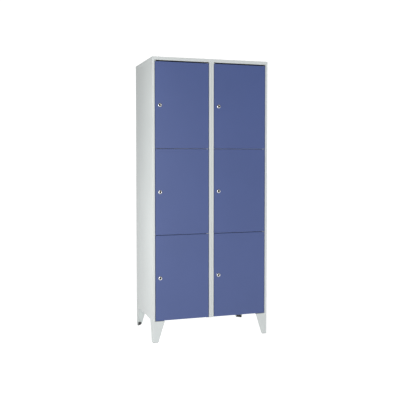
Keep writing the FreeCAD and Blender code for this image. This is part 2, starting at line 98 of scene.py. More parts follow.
# %% Node helper
def add_node(tree, kind, settings=None, inputs=None):
    """Add a node, set its settings, and give each input a value or a link."""
    node = tree.nodes.new(kind)
    for name, value in (settings or {}).items():
        setattr(node, name, value)
    for name, value in (inputs or {}).items():
        if isinstance(value, bpy.types.NodeSocket):
            tree.links.new(value, node.inputs[name])
        else:
            node.inputs[name].default_value = value
    return node


def linear(hex_digits):
    """A colour written as sRGB hex digits, as the linear RGBA that a shader takes."""
    shares = [int(hex_digits[at:at + 2], 16) / 255 for at in (0, 2, 4)]
    return [s / 12.92 if s <= 0.04045 else ((s + 0.055) / 1.055) ** 2.4 for s in shares] + [1.0]


def new_finish(name, metallic=0.0):
    """A material with its shader and the object's own coordinates, in metres."""
    material = bpy.data.materials.new(name)
    material.use_nodes = True
    tree = material.node_tree
    shader = tree.nodes["Principled BSDF"]
    shader.inputs["Metallic"].default_value = metallic
    place = add_node(tree, "ShaderNodeTexCoord").outputs["Object"]
    return material, tree, shader, place


def grain(tree, place, size, detail=2.0):
    """Noise whose features have about this size, in metres, as a number from 0 to 1."""
    inputs = {"Vector": place, "Scale": 1 / size, "Detail": detail, "Roughness": 0.5}
    return add_node(tree, "ShaderNodeTexNoise", inputs=inputs).outputs["Fac"]


def between(tree, value, low, high):
    """Noise, which keeps to about 0.25 from one half, stretched to run from low to high."""
    ends = {"From Min": 0.25, "From Max": 0.75, "To Min": low, "To Max": high}
    return add_node(tree, "ShaderNodeMapRange", inputs={"Value": value, **ends}).outputs[0]


def tint(tree, share, first, second):
    """A colour that drifts between two sRGB ones."""
    return add_node(tree, "ShaderNodeMix", {"data_type": "RGBA"},
                    {0: share, 6: linear(first), 7: linear(second)}).outputs[2]


def relief(tree, height, distance, strength, under=None):
    """A bump of this height in metres, over another bump if one is given."""
    inputs = {"Height": height, "Distance": distance, "Strength": strength}
    if under is not None:
        inputs["Normal"] = under
    return add_node(tree, "ShaderNodeBump", inputs=inputs).outputs["Normal"]


def dress(tree, shader, colour, roughness, normal):
    """Lead a colour, a roughness and a relief into the shader."""
    for name, source in (("Base Color", colour), ("Roughness", roughness), ("Normal", normal)):
        tree.links.new(source, shader.inputs[name])


# %% [markdown]
# ## Powder coat
# The sheets are powder coated: dry polyester powder is sprayed on and baked, and it flows
# into a hard, half-matt skin. It shows three things: a soft gloss, the fine dimples called
# orange peel, and the slow waviness of thin sheet under it. The dimples are 1 to 2 mm across
# on the real locker. They are drawn at 6 mm, because finer ones would not show.

# %% Powder coat
PEEL_SIZE = 6 * MM
PEEL_HEIGHT = 0.012 * MM
WAVE_SIZE = 260 * MM
WAVE_HEIGHT = 0.5 * MM
FILM_SIZE = 340 * MM
RUB_SIZE = 45 * MM
RUB_DULLING = 0.035


def powder_coat(name, full_film, thin_film, gloss_roughness):
    """Baked polyester powder on steel: the colour drifts a little with the film's thickness."""
    material, tree, shader, place = new_finish(name)
    film = between(tree, grain(tree, place, FILM_SIZE, 3.0), 0.0, 1.0)
    rubbed = between(tree, grain(tree, place, RUB_SIZE, 4.0), -RUB_DULLING, RUB_DULLING)
    roughness = add_node(tree, "ShaderNodeMath", {"operation": "ADD"},
                         {0: rubbed, 1: gloss_roughness})
    waves = relief(tree, grain(tree, place, WAVE_SIZE, 1.0), WAVE_HEIGHT, 0.6)
    peel = relief(tree, grain(tree, place, PEEL_SIZE), PEEL_HEIGHT, 0.8, waves)
    dress(tree, shader, tint(tree, film, full_film, thin_film), roughness.outputs[0], peel)
    shader.inputs["IOR"].default_value = 1.5
    return material


carcass_coat = powder_coat("light grey polyester powder coat", "D3D8D7", "CFD4D3", 0.45)
door_coat = powder_coat("pigeon blue polyester powder coat", "4A5B90", "47588B", 0.42)
print("coats:", carcass_coat.name, "and", door_coat.name)

# %% [markdown]
# ## Plated metal
# The lock housings are zinc castings with bright nickel over them: a neutral, almost mirror
# metal with very slight casting waves. Nuts, screws, pins, hinge plates and cams are steel
# with a clear zinc plating, which is paler, bluer and duller, and is mottled by its crystals.
# Metals keep the default IOR: their colour is the tint of what they reflect.

# %% Nickel, zinc and the black core
def plated(name, bright, dull, smooth, rough, mottle_size, mottle_height):
    """A plated metal whose colour and roughness follow the same mottling."""
    material, tree, shader, place = new_finish(name, metallic=1.0)
    mottle = grain(tree, place, mottle_size, 3.0)
    share = between(tree, mottle, 0.0, 1.0)
    dress(tree, shader, tint(tree, share, bright, dull), between(tree, mottle, smooth, rough),
          relief(tree, mottle, mottle_height, 0.7))
    return material


lock_nickel = plated("bright nickel on cast zinc", "E2E1DE", "D9D8D4", 0.11, 0.17,
                     7 * MM, 0.01 * MM)
zinc_plate = plated("clear zinc plating on steel", "C9CCCE", "AEB2B6", 0.30, 0.44,
                    3 * MM, 0.01 * MM)
black_core = plated("black passivated zinc core", "121214", "0C0C0E", 0.34, 0.46,
                    2 * MM, 0.01 * MM)
print("metals:", lock_nickel.name, "/", zinc_plate.name, "/", black_core.name)

# %% [markdown]
# ## Moulded parts
# The glides under the feet are moulded black polyethylene, waxy and a little grainy. The
# washers are natural nylon, which is cream and lets some light in. The door buffers are
# matt black rubber. All three are dull, so roughness and a fine grain carry the look.

# %% Plastics and rubber
def moulded(name, colour, worn, roughness, grain_size, grain_height):
    """A moulded plastic or rubber with a fine skin grain and slight rub marks."""
    material, tree, shader, place = new_finish(name)
    skin = grain(tree, place, grain_size)
    marks = between(tree, grain(tree, place, 8 * grain_size, 3.0), 0.0, 1.0)
    dress(tree, shader, tint(tree, marks, colour, worn),
          between(tree, skin, roughness - 0.06, roughness + 0.06),
          relief(tree, skin, grain_height, 0.8))
    return material


black_glide = moulded("moulded black polyethylene", "1C1C1E", "242427", 0.48, 1.2 * MM, 0.05 * MM)
cream_nylon = moulded("moulded natural nylon", "E3DECF", "D8D2C1", 0.40, 1.0 * MM, 0.02 * MM)
cream_nylon.node_tree.nodes["Principled BSDF"].inputs["IOR"].default_value = 1.53
black_rubber = moulded("moulded black rubber", "202021", "29292A", 0.72, 0.8 * MM, 0.04 * MM)
print("moulded:", black_glide.name, "/", cream_nylon.name, "/", black_rubber.name)

# %% [markdown]
# ## Outlines with rounded corners
# Folded sheet has no sharp corner: each fold keeps a small radius, which is what catches
# the light. Rounding an outline before it becomes a surface gives those radii exactly, where
# a bevel on the finished mesh would only guess them.

# %% Rounded outlines
CORNER_STEPS = 5
QUARTER_TURN = [math.pi / 2 * step / CORNER_STEPS for step in range(CORNER_STEPS + 1)]


def rounded_outline(points, radii):
    """The closed outline through 2D points, with an arc for each radius above zero."""
    outline = []
    for index, (point, radius) in enumerate(zip(points, radii)):
        corner = Vector(point)
        if radius <= 0:
            outline.append(tuple(corner))
            continue
        back = (Vector(points[index - 1]) - corner).normalized()
        ahead = (Vector(points[(index + 1) % len(points)]) - corner).normalized()
        half = back.angle(ahead) / 2
        start, end = (corner + way * (radius / math.tan(half)) for way in (back, ahead))
        centre = corner + (back + ahead).normalized() * (radius / math.sin(half))
        turn = (start - centre).angle_signed(end - centre)
        for step in range(CORNER_STEPS + 1):
            arm = (start - centre).copy()
            arm.rotate(Matrix.Rotation(-turn * step / CORNER_STEPS, 2))
            outline.append(tuple(centre + arm))
    return outline


def rectangle_ring(low, high, inset, radius, stations=None):
    """A rounded rectangle, drawn in by an inset, with extra points on chosen sides."""
    at = stations or {}
    u0, v0, u1, v1 = low[0] + inset, low[1] + inset, high[0] - inset, high[1] - inset
    points = [(u, v0) for u in at.get("front", ())] + [(u1, v0)]
    points += [(u1, v) for v in at.get("right", ())] + [(u1, v1), (u0, v1)]
    points += [(u0, v) for v in reversed(at.get("left", ()))] + [(u0, v0)]
    corners = {(u1, v0), (u1, v1), (u0, v1), (u0, v0)}
    smallest = 0.2 * MM
    radii = [max(radius - inset, smallest) if point in corners else 0.0 for point in points]
    return rounded_outline(points, radii)


print("points on a plain ring:", len(rectangle_ring((0, 0), (1, 1), 0, 0.1)))

# %% [markdown]
# ## Surfaces from rings and rows
# A pressed tray is a stack of rings: the face, the fold, the flange. A turned part is a stack
# of circles. Both are lofts, so one function joins rings with quads. A second one carries a
# row of points on, step by step, as a press brake folds one edge of a sheet at a time.

# %% Lofts
def loft(bm, rings, closed_ends=(True, True)):
    """Join rings of equal length with quads, and fill the first and the last if asked."""
    rows = [[bm.verts.new(point) for point in ring] for ring in rings]
    for upper, lower in zip(rows, rows[1:]):
        for at in range(len(upper)):
            after = (at + 1) % len(upper)
            bm.faces.new((upper[at], lower[at], lower[after], upper[after]))
    for row, filled in ((rows[0], closed_ends[0]), (rows[-1][::-1], closed_ends[1])):
        if filled:
            bm.faces.new(row)
    return rows


def fold_on(bm, row, offsets):
    """Carry a row of vertices on through offsets, as the next folds of the sheet."""
    for offset in offsets:
        following = [bm.verts.new(vert.co + offset) for vert in row]
        for at in range(len(row) - 1):
            bm.faces.new((row[at], following[at], following[at + 1], row[at + 1]))
        row = following
    return row


def bend_offsets(radius, first, second, then=0.0):
    """Steps round a quarter bend from direction first into direction second, then straight."""
    spots = [first * math.sin(a) * radius + second * (1 - math.cos(a)) * radius
             for a in QUARTER_TURN]
    steps = [b - a for a, b in zip(spots, spots[1:])]
    return steps + ([second * then] if then else [])


def mesh_of(bm, closed):
    """Turn a bmesh into a mesh; a closed one gets its faces pointing outwards."""
    bmesh.ops.remove_doubles(bm, verts=bm.verts, dist=0.002 * MM)
    if closed:
        bmesh.ops.recalc_face_normals(bm, faces=bm.faces)
    mesh = bpy.data.meshes.new("shape")
    bm.to_mesh(mesh)
    bm.free()
    return mesh


def face_towards(mesh, outwards):
    """A sheet, flipped if its widest face looks the wrong way."""
    widest = max(mesh.polygons, key=lambda face: face.area)
    if widest.normal.dot(outwards) < 0:
        mesh.flip_normals()
    return mesh


def prism(outline, levels, place):
    """A solid with one outline at all levels; place(u, v, level) gives its points."""
    bm = bmesh.new()
    loft(bm, [[place(u, v, level) for u, v in outline] for level in levels])
    return mesh_of(bm, True)


# %% [markdown]
# ## Thickness, holes and edges
# Sheet surfaces get their thickness from Solidify, inwards from the outer face. Holes are
# cut by Boolean, as a punch would. A very small bevel breaks every cut edge, and weighted
# normals keep the large flat faces flat. The result is taken as a plain mesh.

# %% Finishing a mesh
SHEET = 0.8 * MM
DOOR_SHEET = 1.0 * MM
FOOT_SHEET = 1.5 * MM
EDGE = 0.15 * MM


def link_holder(mesh):
    """A passing object that carries a mesh while modifiers work on it."""
    holder = bpy.data.objects.new("holder", mesh)
    bpy.context.scene.collection.objects.link(holder)
    return holder


def take_mesh(holder):
    """The evaluated mesh of a passing object, which is then removed."""
    graph = bpy.context.evaluated_depsgraph_get()
    mesh = bpy.data.meshes.new_from_object(holder.evaluated_get(graph),
                                           preserve_all_data_layers=True, depsgraph=graph)
    bpy.data.objects.remove(holder)
    return mesh


def finish_mesh(mesh, material, thickness=0.0, punches=None, edge=EDGE):
    """Thicken, punch and break the edges of a mesh, and give it its material."""
    mesh.shade_smooth()
    holder = link_holder(mesh)
    tool = link_holder(punches) if punches else None
    if thickness:
        solid = holder.modifiers.new("thickness", "SOLIDIFY")
        solid.thickness = thickness
        solid.offset = -1.0
        solid.use_even_offset = True
    if tool:
        punch = holder.modifiers.new("punch", "BOOLEAN")
        punch.operation = "DIFFERENCE"
        punch.solver = "EXACT"
        punch.object = tool
    broken = holder.modifiers.new("edges", "BEVEL")
    broken.width = edge
    broken.segments = 2
    broken.limit_method = "ANGLE"
    broken.angle_limit = math.radians(50)
    broken.use_clamp_overlap = True
    flat = holder.modifiers.new("flats", "WEIGHTED_NORMAL")
    flat.keep_sharp = True
    made = take_mesh(holder)
    if tool:
        bpy.data.objects.remove(tool)
    made.materials.clear()
    made.materials.append(material)
    made.polygons.foreach_set("material_index", [0] * len(made.polygons))
    return made


def install(name, mesh, body, slot, *nodes):
    """Put a finished mesh in the scene as a piece that stands for its CAD nodes."""
    piece = bpy.data.objects.new(name, mesh)
    mesh.name = name
    bpy.context.scene.collection.objects.link(piece)
    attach(piece, body)
    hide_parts(*nodes)
    return piece


def install_fixed(name, mesh, slot, node):
    """Install a piece of the carcass."""
    return install(name, mesh, "cabinet", slot, node)


def install_on_doors(*parts):
    """Copy parts of the first door to all six: (ending, mesh, body, slot, node) for each."""
    for name in door_names:
        for ending, mesh, body, slot, node in parts:
            copy = mesh.copy()
            copy.transform(Matrix.Translation(door_shift[name]))
            install(name + ending, copy, name + body, slot, name + node)


# %% [markdown]
# ## A tree that folds strips
# The uprights and the door stiffeners are strips with one cross-section all along, made on a
# press brake. Extruding a drawn section by hand works for one; a Geometry Nodes tree states
# the rule for all: take a path, round each corner by its own bend radius, and pull the line
# along the strip. The radii travel with the path's points as an attribute.

# %% Geometry tree: folded strip
def new_tree(name, inputs):
    """A geometry tree with named inputs, and its input sockets."""
    tree = bpy.data.node_groups.new(name, "GeometryNodeTree")
    tree.interface.new_socket("Geometry", in_out="INPUT", socket_type="NodeSocketGeometry")
    for label, kind in inputs.items():
        tree.interface.new_socket(label, in_out="INPUT", socket_type=kind)
    tree.interface.new_socket("Geometry", in_out="OUTPUT", socket_type="NodeSocketGeometry")
    return tree, add_node(tree, "NodeGroupInput").outputs


def close_tree(tree, geometry, material):
    """Every tree ends the same way: instances made real, then the finish."""
    real = add_node(tree, "GeometryNodeRealizeInstances", inputs={"Geometry": geometry})
    painted = add_node(tree, "GeometryNodeSetMaterial",
                       inputs={"Geometry": real.outputs[0], "Material": material})
    add_node(tree, "NodeGroupOutput", inputs={"Geometry": painted.outputs[0]})


def grow(tree, source, values):
    """Run a tree on a mesh and return what it makes as a plain mesh."""
    holder = link_holder(source)
    modifier = holder.modifiers.new("grow", "NODES")
    modifier.node_group = tree
    for item in tree.interface.items_tree:
        if item.in_out == "INPUT" and item.name in values:
            modifier[item.identifier] = values[item.name]
    return take_mesh(holder)


strip_tree, given = new_tree("Folded strip", {
    "Bend steps": "NodeSocketInt", "Length": "NodeSocketVector", "Finish": "NodeSocketMaterial"})
line = add_node(strip_tree, "GeometryNodeMeshToCurve", inputs={"Mesh": given["Geometry"]})
radius = add_node(strip_tree, "GeometryNodeInputNamedAttribute", {"data_type": "FLOAT"},
                  {"Name": "bend"})
bent = add_node(strip_tree, "GeometryNodeFilletCurve", {"mode": "POLY"},
                {"Curve": line.outputs[0], "Radius": radius.outputs[0],
                 "Count": given["Bend steps"], "Limit Radius": True})
section = add_node(strip_tree, "GeometryNodeCurveToMesh", inputs={"Curve": bent.outputs[0]})
pulled = add_node(strip_tree, "GeometryNodeExtrudeMesh", {"mode": "EDGES"},
                  {"Mesh": section.outputs[0], "Offset": given["Length"],
                   "Offset Scale": 1.0})
close_tree(strip_tree, pulled.outputs[0], given["Finish"])
print("tree:", strip_tree.name, "with", len(strip_tree.nodes), "nodes")

# %% Folding a strip
INSIDE_BEND = 0.8 * MM


def bend_radii(path, thickness):
    """The outer face's radius at each corner: larger where the sheet folds inwards."""
    radii = [0.0]
    for (u0, v0), (u1, v1), (u2, v2) in zip(path, path[1:], path[2:]):
        inwards = (u1 - u0) * (v2 - v1) - (v1 - v0) * (u2 - u1) > 0
        radii.append(INSIDE_BEND + thickness if inwards else INSIDE_BEND)
    return radii + [0.0]


def folded_strip(path, place, length, thickness, outwards, material, punches=None):
    """A strip folded along a path: place maps path points into space."""
    points = [place(u, v) for u, v in path]
    source = bpy.data.meshes.new("path")
    source.from_pydata(points, [(at, at + 1) for at in range(len(points) - 1)], [])
    radii = source.attributes.new("bend", "FLOAT", "POINT")
    radii.data.foreach_set("value", bend_radii(path, thickness))
    mesh = grow(strip_tree, source, {"Bend steps": CORNER_STEPS, "Length": length,
                                     "Finish": material})
    return finish_mesh(face_towards(mesh, outwards), material, thickness, punches)


# %% [markdown]
# ## Uprights
# Each column has two walls. A wall's front edge is folded into a stile, the narrow grey frame
# beside the doors. On the lock side the sheet folds again into a strip that the door closes
# against. On the hinge side it returns into the box, with a slot for each hinge plate.
# The two middle walls stand on the base, and only their stiles reach down to the feet.

# %% Upright panels
REAR_FOLD = 14 * MM
STRIKE_DEPTH = 21 * MM
STRIKE_WIDTH = 14 * MM
STILE_BOX_DEPTH = 25 * MM
STILE_LIP = 10 * MM
SLOT_PLAY = 0.1 * MM
plate_low, plate_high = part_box("hinge_plates")
HINGE_PLATE = 1.5 * MM
HINGE_NOSE = 6 * MM
door_pitch = (door_shift["left_middle"] - door_shift["left_bottom"]).z
plate_levels = [plate_low.z + door_pitch * step for step in range(len(ROWS) + 1)]


def block_into(bm, low, high):
    """A plain box, for punching."""
    size = Vector(high) - Vector(low)
    middle = (Vector(high) + Vector(low)) / 2
    bmesh.ops.create_cube(bm, size=1.0, matrix=Matrix.Translation(middle)
                          @ Matrix.Diagonal((*size, 1.0)))


def upright(node, lock_side, stands_on_base):
    """A wall with its stile, from the box of its CAD node."""
    low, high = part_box(node)
    wall_x, toward = (low.x, 1) if lock_side else (high.x, -1)
    stile = high.x - low.x - (STRIKE_WIDTH if lock_side else 0)
    depth = high.y - low.y
    path = [(REAR_FOLD, depth), (0, depth), (0, 0), (stile, 0)]
    if lock_side:
        path += [(stile, STRIKE_DEPTH), (stile + STRIKE_WIDTH, STRIKE_DEPTH)]
    else:
        path += [(stile, STILE_BOX_DEPTH), (stile - STILE_LIP, STILE_BOX_DEPTH)]
    bm = bmesh.new()
    if not lock_side:
        reach = HINGE_NOSE + SLOT_PLAY
        for level in plate_levels:
            block_into(bm, (low.x - SHEET, pivot_place.y - reach, level - SLOT_PLAY),
                       (low.x + 2 * SHEET, pivot_place.y + reach, level + HINGE_PLATE + SLOT_PLAY))
    if stands_on_base:
        block_into(bm, (low.x - STRIKE_WIDTH, base_low.y - INSIDE_BEND / 2, 0),
                   (high.x + STRIKE_WIDTH, cad_high.y, base_high.z))
    punches = mesh_of(bm, True) if len(bm.verts) else None
    return folded_strip(path, lambda u, v: (wall_x + toward * u, low.y + v, low.z),
                        (0, 0, high.z - low.z), SHEET, Vector((-toward, 0, 0)),
                        carcass_coat, punches)


for node, lock_side, stands_on_base in (
        ("left_side_panel", True, False), ("right_side_panel", False, False),
        ("left_partition_panel", False, True), ("right_partition_panel", True, True)):
    piece = install_fixed(node.replace("panel", "wall"),
                          upright(node, lock_side, stands_on_base), "carcass_paint", node)
    print(piece.name, len(piece.data.polygons), "faces")

# %% [markdown]
# ## Trays
# Shelves, the base and the top cover are trays: a flat face with its edges folded down. They
# could be boxes with a bevel, but a loft of rings gives the fold, the flange and the closed
# corner in one piece. The base's flanges fold in once more, to carry the feet.

# %% Shelves and base
FOLD = INSIDE_BEND + SHEET
TRAY_CORNER = 2.4 * MM
UP = Vector((0, 0, 1))


def fold_profile(radius):
    """Insets and depths round the fold from a face into its flange."""
    return [(radius * (1 - math.sin(a)), radius * (1 - math.cos(a))) for a in QUARTER_TURN]


def tray(low, high, lip=0.0):
    """A tray from its box, open below, with an inward lip if the lip has a width."""
    profile = fold_profile(FOLD)
    drop = high.z - low.z
    if lip:
        turned_in = [(inset, drop - depth) for inset, depth in reversed(fold_profile(FOLD))]
        profile += turned_in + [(lip, drop)]
    else:
        profile.append((0.0, drop))
    rings = [[(u, v, high.z - depth) for u, v in
              rectangle_ring(low.xy, high.xy, inset, TRAY_CORNER)] for inset, depth in profile]
    bm = bmesh.new()
    loft(bm, rings, (True, False))
    return finish_mesh(face_towards(mesh_of(bm, False), UP), carcass_coat, SHEET)


BASE_LIP = 18.8 * MM
for column in COLUMNS:
    for level in ("lower", "upper"):
        node = column + "_" + level + "_shelf"
        install_fixed(node + "_tray", tray(*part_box(node)), "carcass_paint", node)
base = install_fixed("base_tray", tray(base_low, base_high, BASE_LIP), "carcass_paint",
                     "base_panel")
print("base lip, mm:", round(BASE_LIP / MM, 1), "faces:", len(base.data.polygons))

# %% [markdown]
# ## Top cover
# One sheet caps the locker. It laps 20 mm over the sides and the back. In front it forms the
# rail above the doors, and over each column the rail's lower edge folds back to stiffen it.
# The rings stop where that fold begins; then each stretch of the edge goes its own way.

# %% Top cover
CAP_LAP = 20 * MM
TOP_RAIL = 21 * MM
cap_low, cap_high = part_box("top_cover")
stile_width = wall_high.x - wall_low.x - STRIKE_WIDTH
DOWN, BACKWARDS = Vector((0, 0, -1)), Vector((0, 1, 0))


def top_cover():
    """The cap, its front rail and the two folded returns over the columns."""
    near_corner = 3 * MM
    spans = []
    for left_edge in (cap_low.x, 0.0):
        spans += [left_edge + stile_width + STRIKE_WIDTH + MM,
                  left_edge + cap_high.x - stile_width - MM]
    stations = {"front": [cap_low.x + near_corner, *spans, cap_high.x - near_corner]}
    fold_starts = TOP_RAIL - FOLD
    profile = fold_profile(FOLD) + [(0.0, fold_starts)]
    rings = [[(u, v, cap_high.z - depth) for u, v in
              rectangle_ring(cap_low.xy, cap_high.xy, inset, TRAY_CORNER, stations)]
             for inset, depth in profile]
    bm = bmesh.new()
    edge = loft(bm, rings, (True, False))[-1]
    count = len(stations["front"])
    back = face_y + STILE_BOX_DEPTH - cap_low.y - FOLD
    returned = bend_offsets(FOLD, DOWN, BACKWARDS, back)
    for at in range(count - 1):
        folds = at % 2 == 1
        fold_on(bm, edge[at:at + 2], returned if folds else [DOWN * FOLD])
    fold_on(bm, edge[count - 1:] + edge[:1], [DOWN * (CAP_LAP - fold_starts)])
    return finish_mesh(face_towards(mesh_of(bm, False), UP), carcass_coat, SHEET)


cover = install_fixed("top_cap", top_cover(), "carcass_paint", "top_cover")
print(cover.name, len(cover.data.polygons), "faces")

# %% [markdown]
# ## Hardware from prototypes
# Screws, nuts, washers, buffers and hinge plates repeat. Each is modelled once, and a
# Geometry Nodes tree puts it on every point of a mesh of points. Spot welds repeat along
# seams, so a second tree first spaces points along the seam's line. Both realize their
# instances at the end, so that the plain mesh taken from them holds every copy.

# %% Geometry trees: scattered hardware and weld rows
def copies_on(tree, given, points):
    """End a tree with its prototype on every point."""
    pattern = add_node(tree, "GeometryNodeObjectInfo", inputs={"Object": given["Prototype"]})
    copies = add_node(tree, "GeometryNodeInstanceOnPoints", inputs={
        "Points": points, "Instance": pattern.outputs["Geometry"]})
    close_tree(tree, copies.outputs[0], given["Finish"])


scatter_tree, given = new_tree("Scattered hardware", {
    "Prototype": "NodeSocketObject", "Finish": "NodeSocketMaterial"})
copies_on(scatter_tree, given, given["Geometry"])

weld_tree, given = new_tree("Weld rows", {
    "Prototype": "NodeSocketObject", "Pitch": "NodeSocketFloat", "Finish": "NodeSocketMaterial"})
seams = add_node(weld_tree, "GeometryNodeMeshToCurve", inputs={"Mesh": given["Geometry"]})
spaced = add_node(weld_tree, "GeometryNodeResampleCurve", {"mode": "LENGTH"},
                  {"Curve": seams.outputs[0], "Length": given["Pitch"]})
copies_on(weld_tree, given, spaced.outputs[0])
print("trees:", scatter_tree.name, "and", weld_tree.name)

# %% Scattering
def scatter(prototype, places, material, tree=None, seams=(), pitch=0.0):
    """Copies of a prototype mesh on places, or spaced along the seams between places."""
    holder = link_holder(prototype)
    source = bpy.data.meshes.new("places")
    source.from_pydata([tuple(place) for place in places], list(seams), [])
    mesh = grow(tree or scatter_tree, source,
                {"Prototype": holder, "Finish": material, "Pitch": pitch})
    bpy.data.objects.remove(holder)
    return mesh


# %% [markdown]
# ## Turned parts
# Pins, washers, screw heads, nuts and lock parts are round or hexagonal about an axis. A
# profile of radius and height, with the number of flats at each height, describes them all:
# the rings between a circle and a hexagon form the chamfer that a nut has.

# %% Turned parts
TURN_STEPS = 48


def ring_points(centre, axis, radius, along, flats):
    """A circle, or a polygon whose flats lie at the radius, about the axis through a point."""
    points = []
    for step in range(TURN_STEPS):
        angle = 2 * math.pi * step / TURN_STEPS
        sector = 2 * math.pi / flats if flats else 0
        reach = radius / math.cos(angle % sector - sector / 2) if flats else radius
        a, b = reach * math.cos(angle), reach * math.sin(angle)
        points.append(Vector(centre) + Vector((a, along, b) if axis == "Y" else (a, b, along)))
    return points


def turned(bm, profile, centre, axis, hollow=False):
    """A solid from its profile of (radius, height, flats); a hollow one closes on itself."""
    rings = [ring_points(centre, axis, *point) for point in profile]
    if hollow:
        rings.append(rings[0])
    return loft(bm, rings, (not hollow, not hollow))


def turned_mesh(profile, material, centre=(0, 0, 0), axis="Z", hollow=False, edge=EDGE,
                punches=None):
    """A turned part as a finished mesh."""
    bm = bmesh.new()
    turned(bm, profile, centre, axis, hollow)
    return finish_mesh(mesh_of(bm, True), material, punches=punches, edge=edge)


def nut_profile(flats_across, bore, low, height, chamfer):
    """A hexagon nut with both its faces chamfered."""
    half = flats_across / 2
    return [(bore, low, 0), (half, low, 0), (half, low + chamfer, 6),
            (half, low + height - chamfer, 6), (half, low + height, 0), (bore, low + height, 0)]


# %% [markdown]
# ## Feet
# A foot is an angle of 1.5 mm sheet, wide at the top and tapering to its toe, with a plate
# across its top that is screwed to the base. It is lofted from the section at the toe to the
# section at the top. A black glide fills the toe's corner and stands on the floor.

# %% Feet
TOE_WIDTH = 37 * MM
PLATE_SIDE = 78 * MM
PLATE_CLIP = 30 * MM
GLIDE_SOLE = 1.5 * MM
foot_low, foot_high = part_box("front_left_foot")
foot_width = foot_high.x - foot_low.x
foot_fold = INSIDE_BEND + FOOT_SHEET
foot_corners = {}
for name in ("front_left", "front_right", "rear_left", "rear_right"):
    low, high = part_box(name + "_foot")
    corner = (low.x if "left" in name else high.x, low.y if "front" in name else high.y)
    foot_corners[name] = (*corner, 1 if "left" in name else -1, 1 if "front" in name else -1)


def foot_section(corner, width, z):
    """The outer line of the angle at one height."""
    x, y, run_x, run_y = corner
    fold = [(foot_fold * (1 - math.cos(a)), foot_fold * (1 - math.sin(a))) for a in QUARTER_TURN]
    line = [(0, width), *fold, (width, 0)]
    return [(x + run_x * u, y + run_y * v, z) for u, v in line]


def foot(corner):
    """The tapered angle and its top plate as one mesh."""
    x, y, run_x, run_y = corner
    bm = bmesh.new()
    low, high = (foot_section(corner, width, z) for width, z in
                 ((TOE_WIDTH, foot_low.z), (foot_width, foot_high.z)))
    rows = [[bm.verts.new(point) for point in row] for row in (low, high)]
    for at in range(len(low) - 1):
        bm.faces.new((rows[0][at], rows[0][at + 1], rows[1][at + 1], rows[1][at]))
    angle = mesh_of(bm, False)
    if angle.polygons[0].normal.x * run_x > 0:
        angle.flip_normals()
    angle = finish_mesh(angle, carcass_coat, FOOT_SHEET)
    inset = FOOT_SHEET - 0.2 * MM
    outline = rounded_outline([(inset, inset), (PLATE_SIDE, inset), (PLATE_SIDE, PLATE_CLIP),
                               (PLATE_CLIP, PLATE_SIDE), (inset, PLATE_SIDE)],
                              [0.5 * MM, 3 * MM, 3 * MM, 3 * MM, 3 * MM])
    plate = prism(outline, (foot_high.z - FOOT_SHEET, foot_high.z),
                  lambda u, v, z: (x + run_x * u, y + run_y * v, z))
    return joined([angle, finish_mesh(plate, carcass_coat)])


def joined(meshes):
    """Several finished meshes as one, which keeps the first one's material."""
    bm = bmesh.new()
    for mesh in meshes:
        bm.from_mesh(mesh)
    made = bpy.data.meshes.new("joined")
    bm.to_mesh(made)
    bm.free()
    made.materials.append(meshes[0].materials[0])
    normals = [tuple(corner.vector) for mesh in meshes for corner in mesh.corner_normals]
    made.normals_split_custom_set(normals)
    return made


for name, corner in foot_corners.items():
    install_fixed(name + "_leg", foot(corner), "carcass_paint", name + "_foot")
print("foot, mm:", round(foot_width / MM), "wide at the top,", round(TOE_WIDTH / MM), "at the toe")

# %% Glides
GLIDE_LEG = 34 * MM
GLIDE_HEIGHT = 16 * MM
GLIDE_AIR = 0.3 * MM


def glide(corner):
    """A shoe with a sole under the sheet and a block inside its corner."""
    x, y, run_x, run_y = corner
    start = FOOT_SHEET + GLIDE_AIR
    radii = [1.5 * MM, 3 * MM, 3 * MM]
    rings = []
    for first, leg, z in ((0.3 * MM, TOE_WIDTH - 0.6 * MM, 0.0), (0, TOE_WIDTH, 0.3 * MM),
                          (0, TOE_WIDTH, GLIDE_SOLE), (start, GLIDE_LEG, GLIDE_SOLE),
                          (start, GLIDE_LEG, GLIDE_HEIGHT - MM),
                          (start + 0.6 * MM, GLIDE_LEG - 2 * MM, GLIDE_HEIGHT)):
        outline = rounded_outline([(first, first), (first + leg, first), (first, first + leg)],
                                  radii)
        rings.append([(x + run_x * u, y + run_y * v, z) for u, v in outline])
    bm = bmesh.new()
    loft(bm, rings)
    return finish_mesh(mesh_of(bm, True), black_glide)


glides = [glide(corner) for corner in foot_corners.values()]
install_fixed("glides", joined(glides), "glide_plastic", "foot_glides")

# %% [markdown]
# ## Foot screws and nuts
# Two screws with hexagon sockets hold each foot: one through the corner of the base's front or
# rear lip, one through its side lip. Their nuts sit inside the base, out of sight, and are
# seen only from below.

